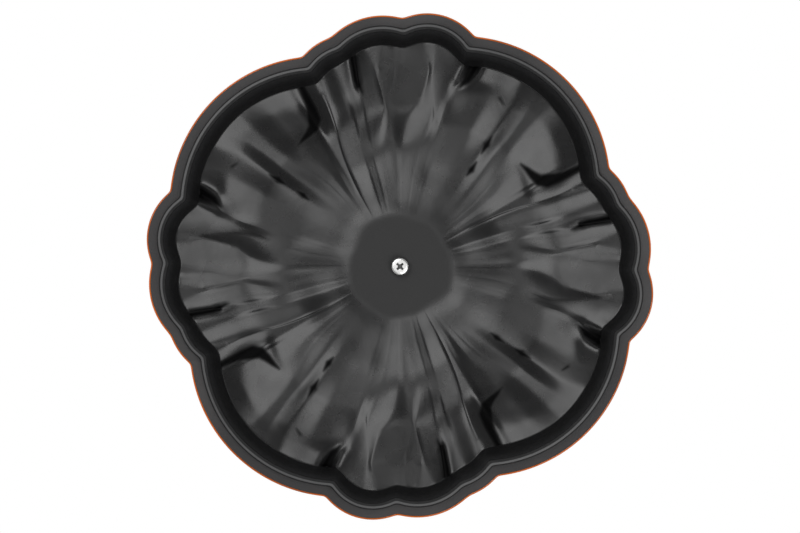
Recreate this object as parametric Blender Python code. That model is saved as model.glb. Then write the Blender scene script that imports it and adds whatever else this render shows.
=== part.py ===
"""Lid of a pumpkin-shaped cast-iron cocotte, with its screwed knob. Metres, +Z up.

The lid stands on its lip with the knob on top, and the origin is the middle of the lip's foot.
Bearings are in degrees and run counter-clockwise as the lid is seen from below, so a bearing b lies
at the angle -b about +Z. The lid repeats itself four times around its axis.
"""
import math

import bmesh
import bpy
import numpy as np
from mathutils import Matrix

# Outline: each quarter has one broad lobe and a narrow one made of three bulges
QUARTERS = 4
BROAD_BEARING = 53.0
BROAD_REACH = 0.1221
BROAD_RADIUS = 0.0724
BULGE_BEARINGS = (-8.0, 5.5, 16.5)
BULGE_REACHES = (0.1241, 0.1225, 0.1164)
BULGE_RADII = (0.0293, 0.0350, 0.0292)
NOTCH_ROUNDING = 0.0006

# Rim: a flat seat, and a lip that drops into the pot
SEAT_WIDTH = 0.0052
LIP_WIDTH = 0.0034
LIP_HEIGHT = 0.0040
LIP_ROUNDING = 0.0008
EDGE_HEIGHT = 0.0022

# Hollow
WALL_RUN = 0.0044
WALL_FOOT_ROUNDING = 0.0026
SHOULDER_BULGE_OUT = 0.35
SHOULDER_BULGE_UP = 0.45
PAD_HEIGHT = 0.0225
PAD_RADIUS = 0.0250
PAD_STEP = 0.0005
PAD_STEP_SHARE = 0.05
IRON_THICKNESS = 0.0042

# Dome and folds, from the pad's edge at 0 to the wall's foot at 1. The dome has its heights above the
# pad, and a fold line has its bearings and its depths below the pad, in millimetres
FOLD_STATIONS = (0.0, 0.18, 0.38, 0.60, 0.66, 0.84, 0.90, 1.0)
DOME = (0.0, 1.6, 2.8, 2.2, 1.5, -0.7, -1.9, -4.0)
FOLDS = {
    "notch foot": (
        (-15, -15, -15.3, -15.6, -15.7, -17.2, -18.9, -20.2),
        (0, -1.3, -3.2, -2.4, -1.6, 1.6, 0.8, 1.2),
    ),
    "notch crest": (
        (-12.5, -12.5, -13.2, -14.3, -14.3, -15.4, -16.4, -17.3),
        (0, -1.4, -3.3, -1.7, -0.7, 3, 4.2, 6.4),
    ),
    "first foot": (
        (-8, -8, -9.5, -12.4, -11.5, -9.4, -9.5, -9.8),
        (0, -1.6, -3.5, -0.9, 0, 3.7, 4.3, 5.4),
    ),
    "first crest": (
        (-1, -1, -0.8, -4.5, -7, -8.4, -7.6, -6.2),
        (0, -1.9, -3.7, 0.8, 1.8, 4.5, 5.1, 6.3),
    ),
    "second foot": (
        (2, 2, 2.4, 3.1, 3.2, 1.2, 0.8, 0),
        (0, -2, -3.9, -0.6, 0, 2.4, 3.2, 4.3),
    ),
    "second crest": (
        (3.7, 3.7, 4.4, 3.8, 3.9, 2, 2, 1.9),
        (0, -2, -3.8, -0.45, 0.2, 2.7, 3.4, 4.6),
    ),
    "third foot": (
        (5.7, 5.7, 6.8, 4.6, 5.1, 6.3, 5.4, 4),
        (0, -2, -4, -0.7, -0.1, 1.4, 2.2, 3.6),
    ),
    "third crest": (
        (9.8, 9.8, 10.9, 6.8, 5.9, 7.3, 8, 9.3),
        (0, -1.9, -4, -0.4, 0, 1.6, 2.4, 3.8),
    ),
    "slot foot": (
        (12.5, 12.5, 13, 12.6, 12.4, 12.2, 12, 11.5),
        (0, -1.8, -4, -1.8, -1.6, 0, 1, 2.6),
    ),
    "slot": (
        (13.2, 13.2, 13.5, 13.1, 12.9, 13, 12.8, 12.6),
        (0, -1.8, -4.05, -1.95, -1.8, -1.9, -0.9, 0.8),
    ),
    "slot crest": (
        (14, 14, 14, 13.6, 13.4, 13.8, 13.8, 13.7),
        (0, -1.7, -4, -2.05, -1.9, 0.9, 2, 3.4),
    ),
    "fourth foot": (
        (17.5, 17.5, 17.5, 16.8, 16.7, 16.2, 16, 15.6),
        (0, -1.4, -3.6, -2.9, -2.6, 0.2, 1.1, 2.5),
    ),
    "fourth crest": (
        (19, 19, 19, 17.6, 17.3, 17.6, 17.9, 18.3),
        (0, -1.2, -3.5, -3.1, -2.75, 0.5, 1.3, 2.7),
    ),
    "crease foot": (
        (28.3, 28.3, 27.4, 25.2, 24.4, 23, 22.6, 22),
        (0, -1.4, -4.4, -4.6, -4.4, -1.5, -0.6, 0.8),
    ),
    "crease crest": (
        (29.1, 29.1, 28.1, 25.9, 25, 24.2, 24.3, 24.5),
        (0, -1.1, -3.7, -4.1, -3.9, -1, -0.1, 1.4),
    ),
    "pit edge": (
        (30.5, 30.5, 29.5, 28.8, 28, 26.6, 26.7, 27),
        (0, -1.2, -3.8, -4.4, -4.5, -1.9, -1.1, 0.6),
    ),
    "pit bottom": (
        (32, 32, 31, 30.8, 30.6, 30.4, 30.3, 30.2),
        (0, -1.2, -3.7, -4.6, -6, -5, -3.4, -0.4),
    ),
    "pit rise": (
        (34, 34, 33, 32.5, 32.2, 32.4, 32.5, 32.5),
        (0, -1.1, -3.3, -3.4, -4.4, -3, -1.9, 1),
    ),
    "pocket": (
        (36.5, 36.5, 37, 40, 40, 40, 40, 40),
        (0, -0.9, -2.5, -1.6, -2, -0.2, 0.6, 3.6),
    ),
    "ridge start": (
        (40, 40, 41.5, 46, 46.4, 47, 47, 47),
        (0, -0.8, -2.2, -0.5, 0.4, 3.1, 4, 6),
    ),
    "ridge end": (
        (46.5, 46.5, 48.5, 50.3, 50.2, 50.4, 50.6, 51),
        (0, -0.5, -1.2, -0.4, 0.5, 3.2, 4.1, 6.2),
    ),
    "flank foot": (
        (53.5, 53.5, 54.3, 54.8, 54.7, 54.8, 55.5, 56.8),
        (0, -0.7, -2.3, -3.1, -2.3, 1.5, 3, 5.5),
    ),
    "side rise": (
        (61.5, 61.5, 62, 62.5, 62, 62, 62, 62),
        (0, -0.8, -2.4, -1.5, -0.7, 2.7, 4.4, 7),
    ),
    "side flat": (
        (69.5, 69.5, 70.5, 68.5, 68, 68, 67.7, 67.4),
        (0, -1.1, -2.9, -1.8, -1, 2.5, 5.8, 8.2),
    ),
}
FOLD_SHARPNESS = 0.8
MILLIMETRE = 0.001
OUTSIDE_SHARE = 0.8

# Fired glaze over the outside, and the clearance between touching pieces
GLAZE = 0.0005
GAP = 0.0003

# Screw, washer, gasket and knob on the lid's axis
HOLE_RADIUS = 0.0029
SCREW_RADIUS = 0.0025
SCREW_HEAD_RADIUS = 0.0047
SCREW_HEAD_HEIGHT = 0.0034
SCREW_GRIP = 0.0120
SCREW_TIP = 0.0008
RECESS_WIDTH = 0.0012
RECESS_SPAN = 0.0040
RECESS_DEPTH = 0.0017
WASHER_RADIUS = 0.0044
WASHER_THICKNESS = 0.0012
WASHER_SLIT = 20.0
GASKET_THICKNESS = 0.0010
GASKET_INSET = 0.0006
KNOB_BORE_DEPTH = 0.0140
KNOB_FOOT_RADIUS = 0.0150
KNOB_HEIGHT = 0.0340
KNOB_WAIST = 0.64
KNOB_HEAD = 0.86
KNOB_RIBS = 5
KNOB_RIB_SHARE = 0.09
KNOB_TWIST = 28.0
KNOB_LEAN = 0.0025

# Fineness of the meshes: degrees between lines of vertices, and rings on each stretch or between stations
FOLD_STEP = 4.5
RELIEF_RINGS = 3
WALL_RINGS = 3
CROWN_RINGS = 2
SHOULDER_RINGS = 3
ROUND_SIDES = 36
KNOB_SIDES = 50

QUARTER = 360.0 / QUARTERS
LIP_INSIDE = SEAT_WIDTH + LIP_WIDTH
FOOT_INSET = LIP_INSIDE + WALL_RUN
CASTING_EDGE = GLAZE + GAP
PAD_TOP = PAD_HEIGHT + IRON_THICKNESS
GLAZE_TOP = PAD_TOP + GAP + GLAZE


def smooth(share):
    """Ease from 0 to 1."""
    share = np.clip(share, 0.0, 1.0)
    return share * share * (3.0 - 2.0 * share)


def soft_max(values, rounding):
    """Largest value at each place, with the change from one to the next rounded off."""
    values = np.array(values)
    top = values.max(axis=0)
    return top + rounding * np.log(np.exp((values - top) / rounding).sum(axis=0))


def outline(bearing, inset, rounding):
    """Radius of the lid's outline at each bearing, drawn in by inset."""
    lobes = [(BROAD_BEARING, BROAD_REACH, BROAD_RADIUS), *zip(BULGE_BEARINGS, BULGE_REACHES, BULGE_RADII)]
    reaches = []
    for quarter in range(QUARTERS):
        for lobe_bearing, reach, radius in lobes:
            turn = np.radians(bearing - lobe_bearing - quarter * QUARTER)
            centre = reach - radius
            chord = (radius - inset) ** 2 - (centre * np.sin(turn)) ** 2
            reaches.append(centre * np.cos(turn) + np.sqrt(np.maximum(chord, 0.0)))
    return soft_max(reaches, rounding)


def wall_foot(bearing):
    """Radius where the hollow's wall meets the dome."""
    return outline(bearing, FOOT_INSET, WALL_FOOT_ROUNDING)


def hermite(t, start, end, start_slope, end_slope):
    """Smooth value between two ends at t from 0 to 1."""
    rise = (3 * t**2 - 2 * t**3) * (end - start)
    return start + rise + (t**3 - 2 * t**2 + t) * start_slope + (t**3 - t**2) * end_slope


def along_fold(share, values):
    """Value on a fold line at a share of the way from the pad to the wall, smooth up to the shoulder."""
    stations = np.array(FOLD_STATIONS)
    values = np.array(values, dtype=float)
    slopes = np.diff(values) / np.diff(stations)
    bends = np.zeros(len(stations))
    same_way = slopes[:-1] * slopes[1:] > 0
    bends[1:-1][same_way] = (2 * slopes[:-1] * slopes[1:])[same_way] / (slopes[:-1] + slopes[1:])[same_way]
    bends[0] = slopes[0]
    bends[-2:] = slopes[-2:]
    first = int(np.clip(np.searchsorted(stations, share, side="right") - 1, 0, len(slopes) - 1))
    if first == len(slopes) - 1:
        return float(np.interp(share, stations, values))
    width = stations[first + 1] - stations[first]
    t = (share - stations[first]) / width
    return float(hermite(t, values[first], values[first + 1], width * bends[first], width * bends[first + 1]))


def fold_lines(share):
    """Bearings of one quarter's fold lines and their drops below the dome, and the next quarter's first."""
    bearings = [along_fold(share, line[0]) for line in FOLDS.values()]
    dome = along_fold(share, DOME)
    drops = [MILLIMETRE * (along_fold(share, line[1]) + dome) for line in FOLDS.values()]
    return bearings + [bearings[0] + QUARTER], drops + drops[:1]


def fold_ring(share):
    """Bearings of a ring's vertices, one on each fold line, and the folds' drop at each."""
    widest = fold_lines(1.0)[0]
    bearings, drops = fold_lines(share)
    ring_bearings, ring_drops = [], []
    for line in range(len(bearings) - 1):
        pieces = max(1, round((widest[line + 1] - widest[line]) / FOLD_STEP))
        t = np.arange(pieces) / pieces
        slope = FOLD_SHARPNESS * (drops[line + 1] - drops[line])
        ring_bearings.append(bearings[line] + t * (bearings[line + 1] - bearings[line]))
        ring_drops.append(hermite(t, drops[line], drops[line + 1], slope, slope))
    turns = np.arange(QUARTERS)[:, None] * QUARTER
    return (np.concatenate(ring_bearings) + turns).ravel(), np.tile(np.concatenate(ring_drops), QUARTERS)


def ring_points(bearing, radius, height):
    """Vertices of a ring, placed at the angle -bearing about +Z."""
    angle = np.radians(bearing)
    height = np.broadcast_to(height, angle.shape)
    radius = np.broadcast_to(radius, angle.shape)
    return np.stack([radius * np.cos(angle), -radius * np.sin(angle), height], axis=1)


def ceiling(share):
    """Height of the dome's underside without its folds, from the pad at 0 to the wall's foot at 1."""
    step = PAD_STEP * smooth(share / PAD_STEP_SHARE)
    return PAD_HEIGHT + step + MILLIMETRE * along_fold(share, DOME)


def relief_shares(rings_per_station):
    """Shares of the relief's rings, the same number between each two stations."""
    steps = np.arange(rings_per_station * (len(FOLD_STATIONS) - 1) + 1) / rings_per_station
    return [float(share) for share in np.interp(steps, np.arange(len(FOLD_STATIONS)), FOLD_STATIONS)]


def inner_ring(share):
    """Ring of the folded underside."""
    bearing, drop = fold_ring(share)
    return ring_points(bearing, PAD_RADIUS + share * (wall_foot(bearing) - PAD_RADIUS), ceiling(share) - drop)


def outer_ring(share):
    """Ring of the top, which repeats the underside's folds."""
    bearing, drop = fold_ring(share)
    height = ceiling(share) + IRON_THICKNESS - OUTSIDE_SHARE * drop
    return ring_points(bearing, PAD_RADIUS + share * (wall_foot(bearing) - PAD_RADIUS), height)


def rim_ring(inset, height):
    """Ring that follows the outline at a set inset."""
    bearing = fold_ring(1.0)[0]
    return ring_points(bearing, outline(bearing, inset, NOTCH_ROUNDING), height)


def wall_rings():
    """Rings down the hollow's wall, from its foot towards the lip."""
    top = inner_ring(1.0)
    bottom = rim_ring(LIP_INSIDE, LIP_ROUNDING)
    return [top + (bottom - top) * (ring / WALL_RINGS) for ring in range(1, WALL_RINGS + 1)]


def shoulder_rings():
    """Rings from the seat's outer edge up to the crown, bulging outwards."""
    edge = rim_ring(CASTING_EDGE, LIP_HEIGHT + EDGE_HEIGHT)
    crown = outer_ring(1.0)
    rings = [rim_ring(CASTING_EDGE, LIP_HEIGHT), edge]
    for ring in range(1, SHOULDER_RINGS + 1):
        share = ring / (SHOULDER_RINGS + 1)
        bulge = share * (1.0 - share) * (crown - edge)
        point = edge + (crown - edge) * share
        point[:, :2] -= SHOULDER_BULGE_OUT * bulge[:, :2]
        point[:, 2] += SHOULDER_BULGE_UP * bulge[:, 2]
        rings.append(point)
    return rings


def hole_ring(ring, height):
    """Ring around the screw's hole, with a vertex on every few bearings of the pad's ring."""
    bearing = -np.degrees(np.arctan2(ring[:, 1], ring[:, 0]))
    return ring_points(bearing[::len(ring) // ROUND_SIDES], HOLE_RADIUS, height)


def link_rings(shape, first, second):
    """Triangles between two rings, where the longer has a whole number of vertices to each of the other's."""
    if len(first) > len(second):
        first, second = second, first
    each = len(second) // len(first)
    for i, corner in enumerate(first):
        start = i * each
        for j in range(each):
            shape.faces.new((corner, second[start + j], second[(start + j + 1) % len(second)]))
        shape.faces.new((corner, second[(start + each) % len(second)], first[(i + 1) % len(first)]))


def add_rings(shape, rings):
    """Skin over a run of rings."""
    loops = [[shape.verts.new(point) for point in ring] for ring in rings]
    for first, second in zip(loops, loops[1:]):
        link_rings(shape, first, second)
    return loops


def add_capped(shape, rings):
    """Skin over a run of rings, with a cap at both ends."""
    loops = add_rings(shape, rings)
    shape.faces.new(loops[0])
    shape.faces.new(loops[-1])


def add_looped(shape, rings):
    """Skin over a run of rings, joined back to the first ring."""
    loops = add_rings(shape, rings)
    link_rings(shape, loops[-1], loops[0])


def finish(name, shape, material, smooth_angle=40.0):
    """Make an object of a bmesh, with its faces turned outwards."""
    bmesh.ops.recalc_face_normals(shape, faces=shape.faces)
    mesh = bpy.data.meshes.new(name)
    shape.to_mesh(mesh)
    shape.free()
    mesh.materials.append(material)
    mesh.shade_smooth()
    mesh.set_sharp_from_angle(angle=math.radians(smooth_angle))
    part = bpy.data.objects.new(name, mesh)
    bpy.context.collection.objects.link(part)
    return part


def make_material(name, colour, roughness, metallic):
    """Plain finish of one piece."""
    material = bpy.data.materials.new(name)
    material.use_nodes = True
    shader = material.node_tree.nodes["Principled BSDF"]
    shader.inputs["Base Color"].default_value = (*colour, 1.0)
    shader.inputs["Roughness"].default_value = roughness
    shader.inputs["Metallic"].default_value = metallic
    return material


def top_rings():
    """Rings of the casting's outside, from the seat's outer edge to the knob's pad."""
    rings = shoulder_rings()
    rings += [outer_ring(share) for share in relief_shares(CROWN_RINGS)[::-1]]
    return rings


def offset_rings(rings, distance):
    """Rings moved outwards along the surface, with the seat's edge and the pad kept level."""
    grid = np.array(rings)
    along = np.gradient(grid, axis=0)
    around = np.roll(grid, -1, axis=1) - np.roll(grid, 1, axis=1)
    normal = np.cross(along, around)
    normal[0, :, 2] = 0.0
    normal[-1, :, :2] = 0.0
    normal /= np.linalg.norm(normal, axis=2, keepdims=True)
    normal *= np.sign(normal[-1, 0, 2])
    return list(grid + normal * distance)


def lid_casting(material):
    """Cast-iron lid: pad, folded dome, wall, lip, seat and outside, around the screw's hole."""
    underside = [inner_ring(share) for share in relief_shares(RELIEF_RINGS)]
    lip = [
        rim_ring(LIP_INSIDE - LIP_ROUNDING, 0.0),
        rim_ring(SEAT_WIDTH + LIP_ROUNDING, 0.0),
        rim_ring(SEAT_WIDTH, LIP_ROUNDING),
        rim_ring(SEAT_WIDTH, LIP_HEIGHT),
    ]
    outside = top_rings()
    rings = [hole_ring(underside[0], PAD_HEIGHT), *underside, *wall_rings(), *lip, *outside]
    rings.append(hole_ring(outside[-1], PAD_TOP))
    shape = bmesh.new()
    add_looped(shape, rings)
    return finish("lid_casting", shape, material)


def outer_enamel(material):
    """Fired glaze over the casting's outside, down to the seat's outer edge."""
    shape = bmesh.new()
    sheets = []
    for distance, pad in ((GAP, PAD_TOP + GAP), (GAP + GLAZE, GLAZE_TOP)):
        rings = offset_rings(top_rings(), distance)
        sheets.append(add_rings(shape, [*rings, hole_ring(rings[-1], pad)]))
    link_rings(shape, sheets[0][0], sheets[1][0])
    link_rings(shape, sheets[0][-1], sheets[1][-1])
    return finish("outer_enamel", shape, material)


def turned_rings(profile, sides):
    """Rings about the lid's axis from a profile of radius and height."""
    bearing = np.arange(sides) * 360.0 / sides
    return [ring_points(bearing, radius, height) for radius, height in profile]


def knob_gasket(material):
    """Soft ring between the glaze and the knob's foot."""
    bottom = GLAZE_TOP + GAP
    top = bottom + GASKET_THICKNESS
    outer = KNOB_FOOT_RADIUS - GASKET_INSET
    profile = ((HOLE_RADIUS, bottom), (outer, bottom), (outer, top), (HOLE_RADIUS, top))
    shape = bmesh.new()
    add_looped(shape, turned_rings(profile, 2 * ROUND_SIDES))
    return finish("knob_gasket", shape, material)


def lock_washer(material):
    """Split ring between the casting's pad and the screw's head."""
    top = PAD_HEIGHT - GAP
    bottom = top - WASHER_THICKNESS
    section = ((HOLE_RADIUS, bottom), (WASHER_RADIUS, bottom), (WASHER_RADIUS, top), (HOLE_RADIUS, top))
    shape = bmesh.new()
    cuts = []
    for step in range(ROUND_SIDES + 1):
        bearing = WASHER_SLIT / 2 + step * (360.0 - WASHER_SLIT) / ROUND_SIDES
        radii, heights = np.array(section).T
        cuts.append(ring_points(np.full(len(section), bearing), radii, heights))
    add_capped(shape, cuts)
    return finish("lock_washer", shape, material)


def knob_screw(material):
    """Pan-head screw, driven from below, with a cross recess in its head."""
    bearing_face = PAD_HEIGHT - 2 * GAP - WASHER_THICKNESS
    tip = GLAZE_TOP + GAP + GASKET_THICKNESS + GAP + SCREW_GRIP
    crown = bearing_face - SCREW_HEAD_HEIGHT
    profile = (
        (0.60 * SCREW_HEAD_RADIUS, crown),
        (0.84 * SCREW_HEAD_RADIUS, crown + 0.10 * SCREW_HEAD_HEIGHT),
        (0.96 * SCREW_HEAD_RADIUS, crown + 0.32 * SCREW_HEAD_HEIGHT),
        (SCREW_HEAD_RADIUS, crown + 0.66 * SCREW_HEAD_HEIGHT),
        (0.98 * SCREW_HEAD_RADIUS, bearing_face),
        (SCREW_RADIUS, bearing_face),
        (SCREW_RADIUS, tip - SCREW_TIP),
        (SCREW_RADIUS - SCREW_TIP, tip),
    )
    shape = bmesh.new()
    add_capped(shape, turned_rings(profile, ROUND_SIDES))
    screw = finish("knob_screw", shape, material)
    recess = bmesh.new()
    for turn in (0.0, 90.0):
        place = Matrix.Translation((0, 0, crown)) @ Matrix.Rotation(math.radians(turn), 4, "Z")
        size = Matrix.Diagonal((RECESS_SPAN, RECESS_WIDTH, 2 * RECESS_DEPTH, 1))
        bmesh.ops.create_cube(recess, size=1.0, matrix=place @ size)
    cutter = finish("recess_cutter", recess, material)
    cutter.hide_render = True
    cutter.display_type = "WIRE"
    cut = screw.modifiers.new("Recess", "BOOLEAN")
    cut.operation = "DIFFERENCE"
    cut.solver = "EXACT"
    cut.use_self = True
    cut.object = cutter
    return screw


def knob(material):
    """Metal knob in the form of a ribbed stem that twists and leans a little, bored from below."""
    foot = GLAZE_TOP + 2 * GAP + GASKET_THICKNESS
    waist = KNOB_WAIST * KNOB_FOOT_RADIUS
    head = KNOB_HEAD * KNOB_FOOT_RADIUS
    flare = (
        (0.0, 0.97 * KNOB_FOOT_RADIUS),
        (0.03, KNOB_FOOT_RADIUS),
        (0.12, 0.88 * KNOB_FOOT_RADIUS),
        (0.27, 0.5 * (KNOB_FOOT_RADIUS + waist) * 0.9),
        (0.45, waist),
        (0.62, 1.02 * waist),
        (0.78, 0.5 * (waist + head)),
        (0.91, head),
        (0.97, 0.99 * head),
        (1.0, 0.90 * head),
        (0.985, 0.62 * head),
    )
    bearing = np.arange(KNOB_SIDES) * 360.0 / KNOB_SIDES
    bore_radius = np.full(KNOB_SIDES, HOLE_RADIUS)
    rings = [ring_points(bearing, bore_radius, foot + depth) for depth in (KNOB_BORE_DEPTH, 0.0)]
    for share, radius in flare:
        rib = np.cos(np.radians(KNOB_RIBS * (bearing - share * KNOB_TWIST)))
        depth = KNOB_RIB_SHARE * float(smooth(share / 0.3))
        ring = ring_points(bearing, radius * (1.0 + depth * rib), foot + share * KNOB_HEIGHT)
        ring[:, 0] += KNOB_LEAN * share**2
        rings.append(ring)
    shape = bmesh.new()
    add_capped(shape, rings)
    return finish("knob", shape, material, 50.0)


def build():
    """Clear the scene and make every piece."""
    for old in list(bpy.data.objects):
        bpy.data.objects.remove(old)
    iron = make_material("black_enamelled_iron", (0.012, 0.012, 0.013), 0.42, 0.0)
    glaze = make_material("orange_glaze", (0.50, 0.105, 0.012), 0.12, 0.0)
    steel = make_material("satin_steel", (0.62, 0.61, 0.59), 0.28, 1.0)
    bright = make_material("bright_steel", (0.78, 0.78, 0.77), 0.18, 1.0)
    spring = make_material("spring_steel", (0.35, 0.35, 0.36), 0.35, 1.0)
    silicone = make_material("grey_silicone", (0.10, 0.10, 0.10), 0.60, 0.0)
    lid_casting(iron)
    outer_enamel(glaze)
    knob(steel)
    knob_gasket(silicone)
    lock_washer(spring)
    knob_screw(bright)


build()
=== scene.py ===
"""Looks of the pumpkin cocotte's lid: fine folds, enamel, glaze, steel, light and camera. Metres, +Z up.

Bearings are in degrees and run counter-clockwise as the lid is seen from below, so a bearing b lies
at the angle -b about +Z. The camera looks straight up into the hollow, along the lid's axis.
"""
import math

import bmesh
import bpy
import numpy as np
from mathutils import Matrix, Vector


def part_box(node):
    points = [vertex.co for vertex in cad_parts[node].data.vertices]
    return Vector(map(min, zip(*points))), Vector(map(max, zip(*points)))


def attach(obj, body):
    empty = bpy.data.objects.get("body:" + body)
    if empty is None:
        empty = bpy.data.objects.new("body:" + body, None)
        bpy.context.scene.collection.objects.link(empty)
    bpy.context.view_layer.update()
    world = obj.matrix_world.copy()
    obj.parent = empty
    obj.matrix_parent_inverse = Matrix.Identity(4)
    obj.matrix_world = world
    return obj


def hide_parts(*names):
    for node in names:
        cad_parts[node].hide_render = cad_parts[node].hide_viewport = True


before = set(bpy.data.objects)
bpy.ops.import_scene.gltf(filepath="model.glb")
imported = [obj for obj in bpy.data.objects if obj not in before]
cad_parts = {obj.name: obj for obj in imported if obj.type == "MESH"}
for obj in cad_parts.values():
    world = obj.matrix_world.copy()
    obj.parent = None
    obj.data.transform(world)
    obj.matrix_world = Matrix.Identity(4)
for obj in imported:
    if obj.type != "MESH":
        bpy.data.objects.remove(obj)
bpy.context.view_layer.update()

# Outline: each quarter has one broad lobe and a narrow one made of three bulges
QUARTERS = 4
BROAD_BEARING = 53.0
BROAD_REACH = 0.1221
BROAD_RADIUS = 0.0724
BULGE_BEARINGS = (-8.0, 5.5, 16.5)
BULGE_REACHES = (0.1241, 0.1225, 0.1164)
BULGE_RADII = (0.0293, 0.0350, 0.0292)
NOTCH_ROUNDING = 0.0006

# Rim, hollow and crown
SEAT_WIDTH = 0.0052
LIP_WIDTH = 0.0034
LIP_HEIGHT = 0.0040
LIP_ROUNDING = 0.0008
EDGE_HEIGHT = 0.0022
SHOULDER_BULGE = 0.35
SHOULDER_LIFT = 0.45
WALL_RUN = 0.0044
WALL_FOOT_ROUNDING = 0.0026
PAD_HEIGHT = 0.0225
PAD_RADIUS = 0.0250
PAD_STEP = 0.0005
PAD_STEP_SHARE = 0.12
PAD_BLEND = 0.06
PAD_WAVES = ((3, 0.030, 40.0), (5, 0.024, 110.0), (9, 0.014, 250.0))
IRON_THICKNESS = 0.0042
GLAZE = 0.0005
GAP = 0.0003
HOLE_RADIUS = 0.0029

# Dome's heights over the pad, and each fold line's bearings and depths, at the stations, in millimetres
FOLD_STATIONS = (0.0, 0.18, 0.38, 0.60, 0.66, 0.84, 0.90, 1.0)
DOME = (0.0, 1.6, 2.8, 2.2, 1.5, -0.7, -1.9, -4.0)
FOLDS = {
    "notch foot": (
        (-15, -15, -15.3, -15.6, -15.7, -17.2, -18.9, -20.2),
        (0, -1.3, -3.2, -2.4, -1.6, 1.6, 0.8, 1.2),
    ),
    "notch crest": (
        (-12.5, -12.5, -13.2, -14.3, -14.3, -15.4, -16.4, -17.3),
        (0, -1.4, -3.3, -1.7, -0.7, 3, 4.2, 6.4),
    ),
    "first foot": (
        (-8, -8, -9.5, -12.4, -11.5, -9.4, -9.5, -9.8),
        (0, -1.6, -3.5, -0.9, 0, 3.7, 4.3, 5.4),
    ),
    "first crest": (
        (-1, -1, -0.8, -4.5, -7, -8.4, -7.6, -6.2),
        (0, -1.9, -3.7, 0.8, 1.8, 4.5, 5.1, 6.3),
    ),
    "second foot": (
        (2, 2, 2.4, 3.1, 3.2, 1.2, 0.8, 0),
        (0, -2, -3.9, -0.6, 0, 2.4, 3.2, 4.3),
    ),
    "second crest": (
        (3.7, 3.7, 4.4, 3.8, 3.9, 2, 2, 1.9),
        (0, -2, -3.8, -0.45, 0.2, 2.7, 3.4, 4.6),
    ),
    "third foot": (
        (5.7, 5.7, 6.8, 4.6, 5.1, 6.3, 5.4, 4),
        (0, -2, -4, -0.7, -0.1, 1.4, 2.2, 3.6),
    ),
    "third crest": (
        (9.8, 9.8, 10.9, 6.8, 5.9, 7.3, 8, 9.3),
        (0, -1.9, -4, -0.4, 0, 1.6, 2.4, 3.8),
    ),
    "slot foot": (
        (12.5, 12.5, 13, 12.6, 12.4, 12.2, 12, 11.5),
        (0, -1.8, -4, -1.8, -1.6, 0, 1, 2.6),
    ),
    "slot": (
        (13.2, 13.2, 13.5, 13.1, 12.9, 13, 12.8, 12.6),
        (0, -1.8, -4.05, -1.95, -1.8, -1.9, -0.9, 0.8),
    ),
    "slot crest": (
        (14, 14, 14, 13.6, 13.4, 13.8, 13.8, 13.7),
        (0, -1.7, -4, -2.05, -1.9, 0.9, 2, 3.4),
    ),
    "fourth foot": (
        (17.5, 17.5, 17.5, 16.8, 16.7, 16.2, 16, 15.6),
        (0, -1.4, -3.6, -2.9, -2.6, 0.2, 1.1, 2.5),
    ),
    "fourth crest": (
        (19, 19, 19, 17.6, 17.3, 17.6, 17.9, 18.3),
        (0, -1.2, -3.5, -3.1, -2.75, 0.5, 1.3, 2.7),
    ),
    "crease foot": (
        (28.3, 28.3, 27.4, 25.2, 24.4, 23, 22.6, 22),
        (0, -1.4, -4.4, -4.6, -4.4, -1.5, -0.6, 0.8),
    ),
    "crease crest": (
        (29.1, 29.1, 28.1, 25.9, 25, 24.2, 24.3, 24.5),
        (0, -1.1, -3.7, -4.1, -3.9, -1, -0.1, 1.4),
    ),
    "pit edge": (
        (30.5, 30.5, 29.5, 28.8, 28, 26.6, 26.7, 27),
        (0, -1.2, -3.8, -4.4, -4.5, -1.9, -1.1, 0.6),
    ),
    "pit bottom": (
        (32, 32, 31, 30.8, 30.6, 30.4, 30.3, 30.2),
        (0, -1.2, -3.7, -4.6, -6, -5, -3.4, -0.4),
    ),
    "pit rise": (
        (34, 34, 33, 32.5, 32.2, 32.4, 32.5, 32.5),
        (0, -1.1, -3.3, -3.4, -4.4, -3, -1.9, 1),
    ),
    "pocket": (
        (36.5, 36.5, 37, 40, 40, 40, 40, 40),
        (0, -0.9, -2.5, -1.6, -2, -0.2, 0.6, 3.6),
    ),
    "ridge start": (
        (40, 40, 41.5, 46, 46.4, 47, 47, 47),
        (0, -0.8, -2.2, -0.5, 0.4, 3.1, 4, 6),
    ),
    "ridge end": (
        (46.5, 46.5, 48.5, 50.3, 50.2, 50.4, 50.6, 51),
        (0, -0.5, -1.2, -0.4, 0.5, 3.2, 4.1, 6.2),
    ),
    "flank foot": (
        (53.5, 53.5, 54.3, 54.8, 54.7, 54.8, 55.5, 56.8),
        (0, -0.7, -2.3, -3.1, -2.3, 1.5, 3, 5.5),
    ),
    "side rise": (
        (61.5, 61.5, 62, 62.5, 62, 62, 62, 62),
        (0, -0.8, -2.4, -1.5, -0.7, 2.7, 4.4, 7),
    ),
    "side flat": (
        (69.5, 69.5, 70.5, 68.5, 68, 68, 67.7, 67.4),
        (0, -1.1, -2.9, -1.8, -1, 2.5, 5.8, 8.2),
    ),
}
FOLD_SHARPNESS = 0.8
MILLIMETRE = 0.001
OUTSIDE_SHARE = 0.8
GROOVE_DEPTH = 0.0045

# Screw, washer and gasket
SCREW_HEAD_RADIUS = 0.0047
SCREW_HEAD_HEIGHT = 0.0034
HEAD_FLAT_SHARE = 0.74
HEAD_CROWN_SHARE = 0.66
HEAD_EDGE_SHARES = (0.985, 0.95)
HEAD_EDGE_HEIGHT = 0.0001
SHANK_RADIUS = 0.0025
SHANK_CHAMFER = 0.0008
RECESS_TURNS = (45.0, 135.0)
RECESS_SPAN = 0.0042
RECESS_WIDTH = 0.0011
RECESS_DEPTH = 0.0018
RECESS_CORE_RADII = (0.0014, 0.0009)
WASHER_THICKNESS = 0.0012
GASKET_THICKNESS = 0.0010

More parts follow.
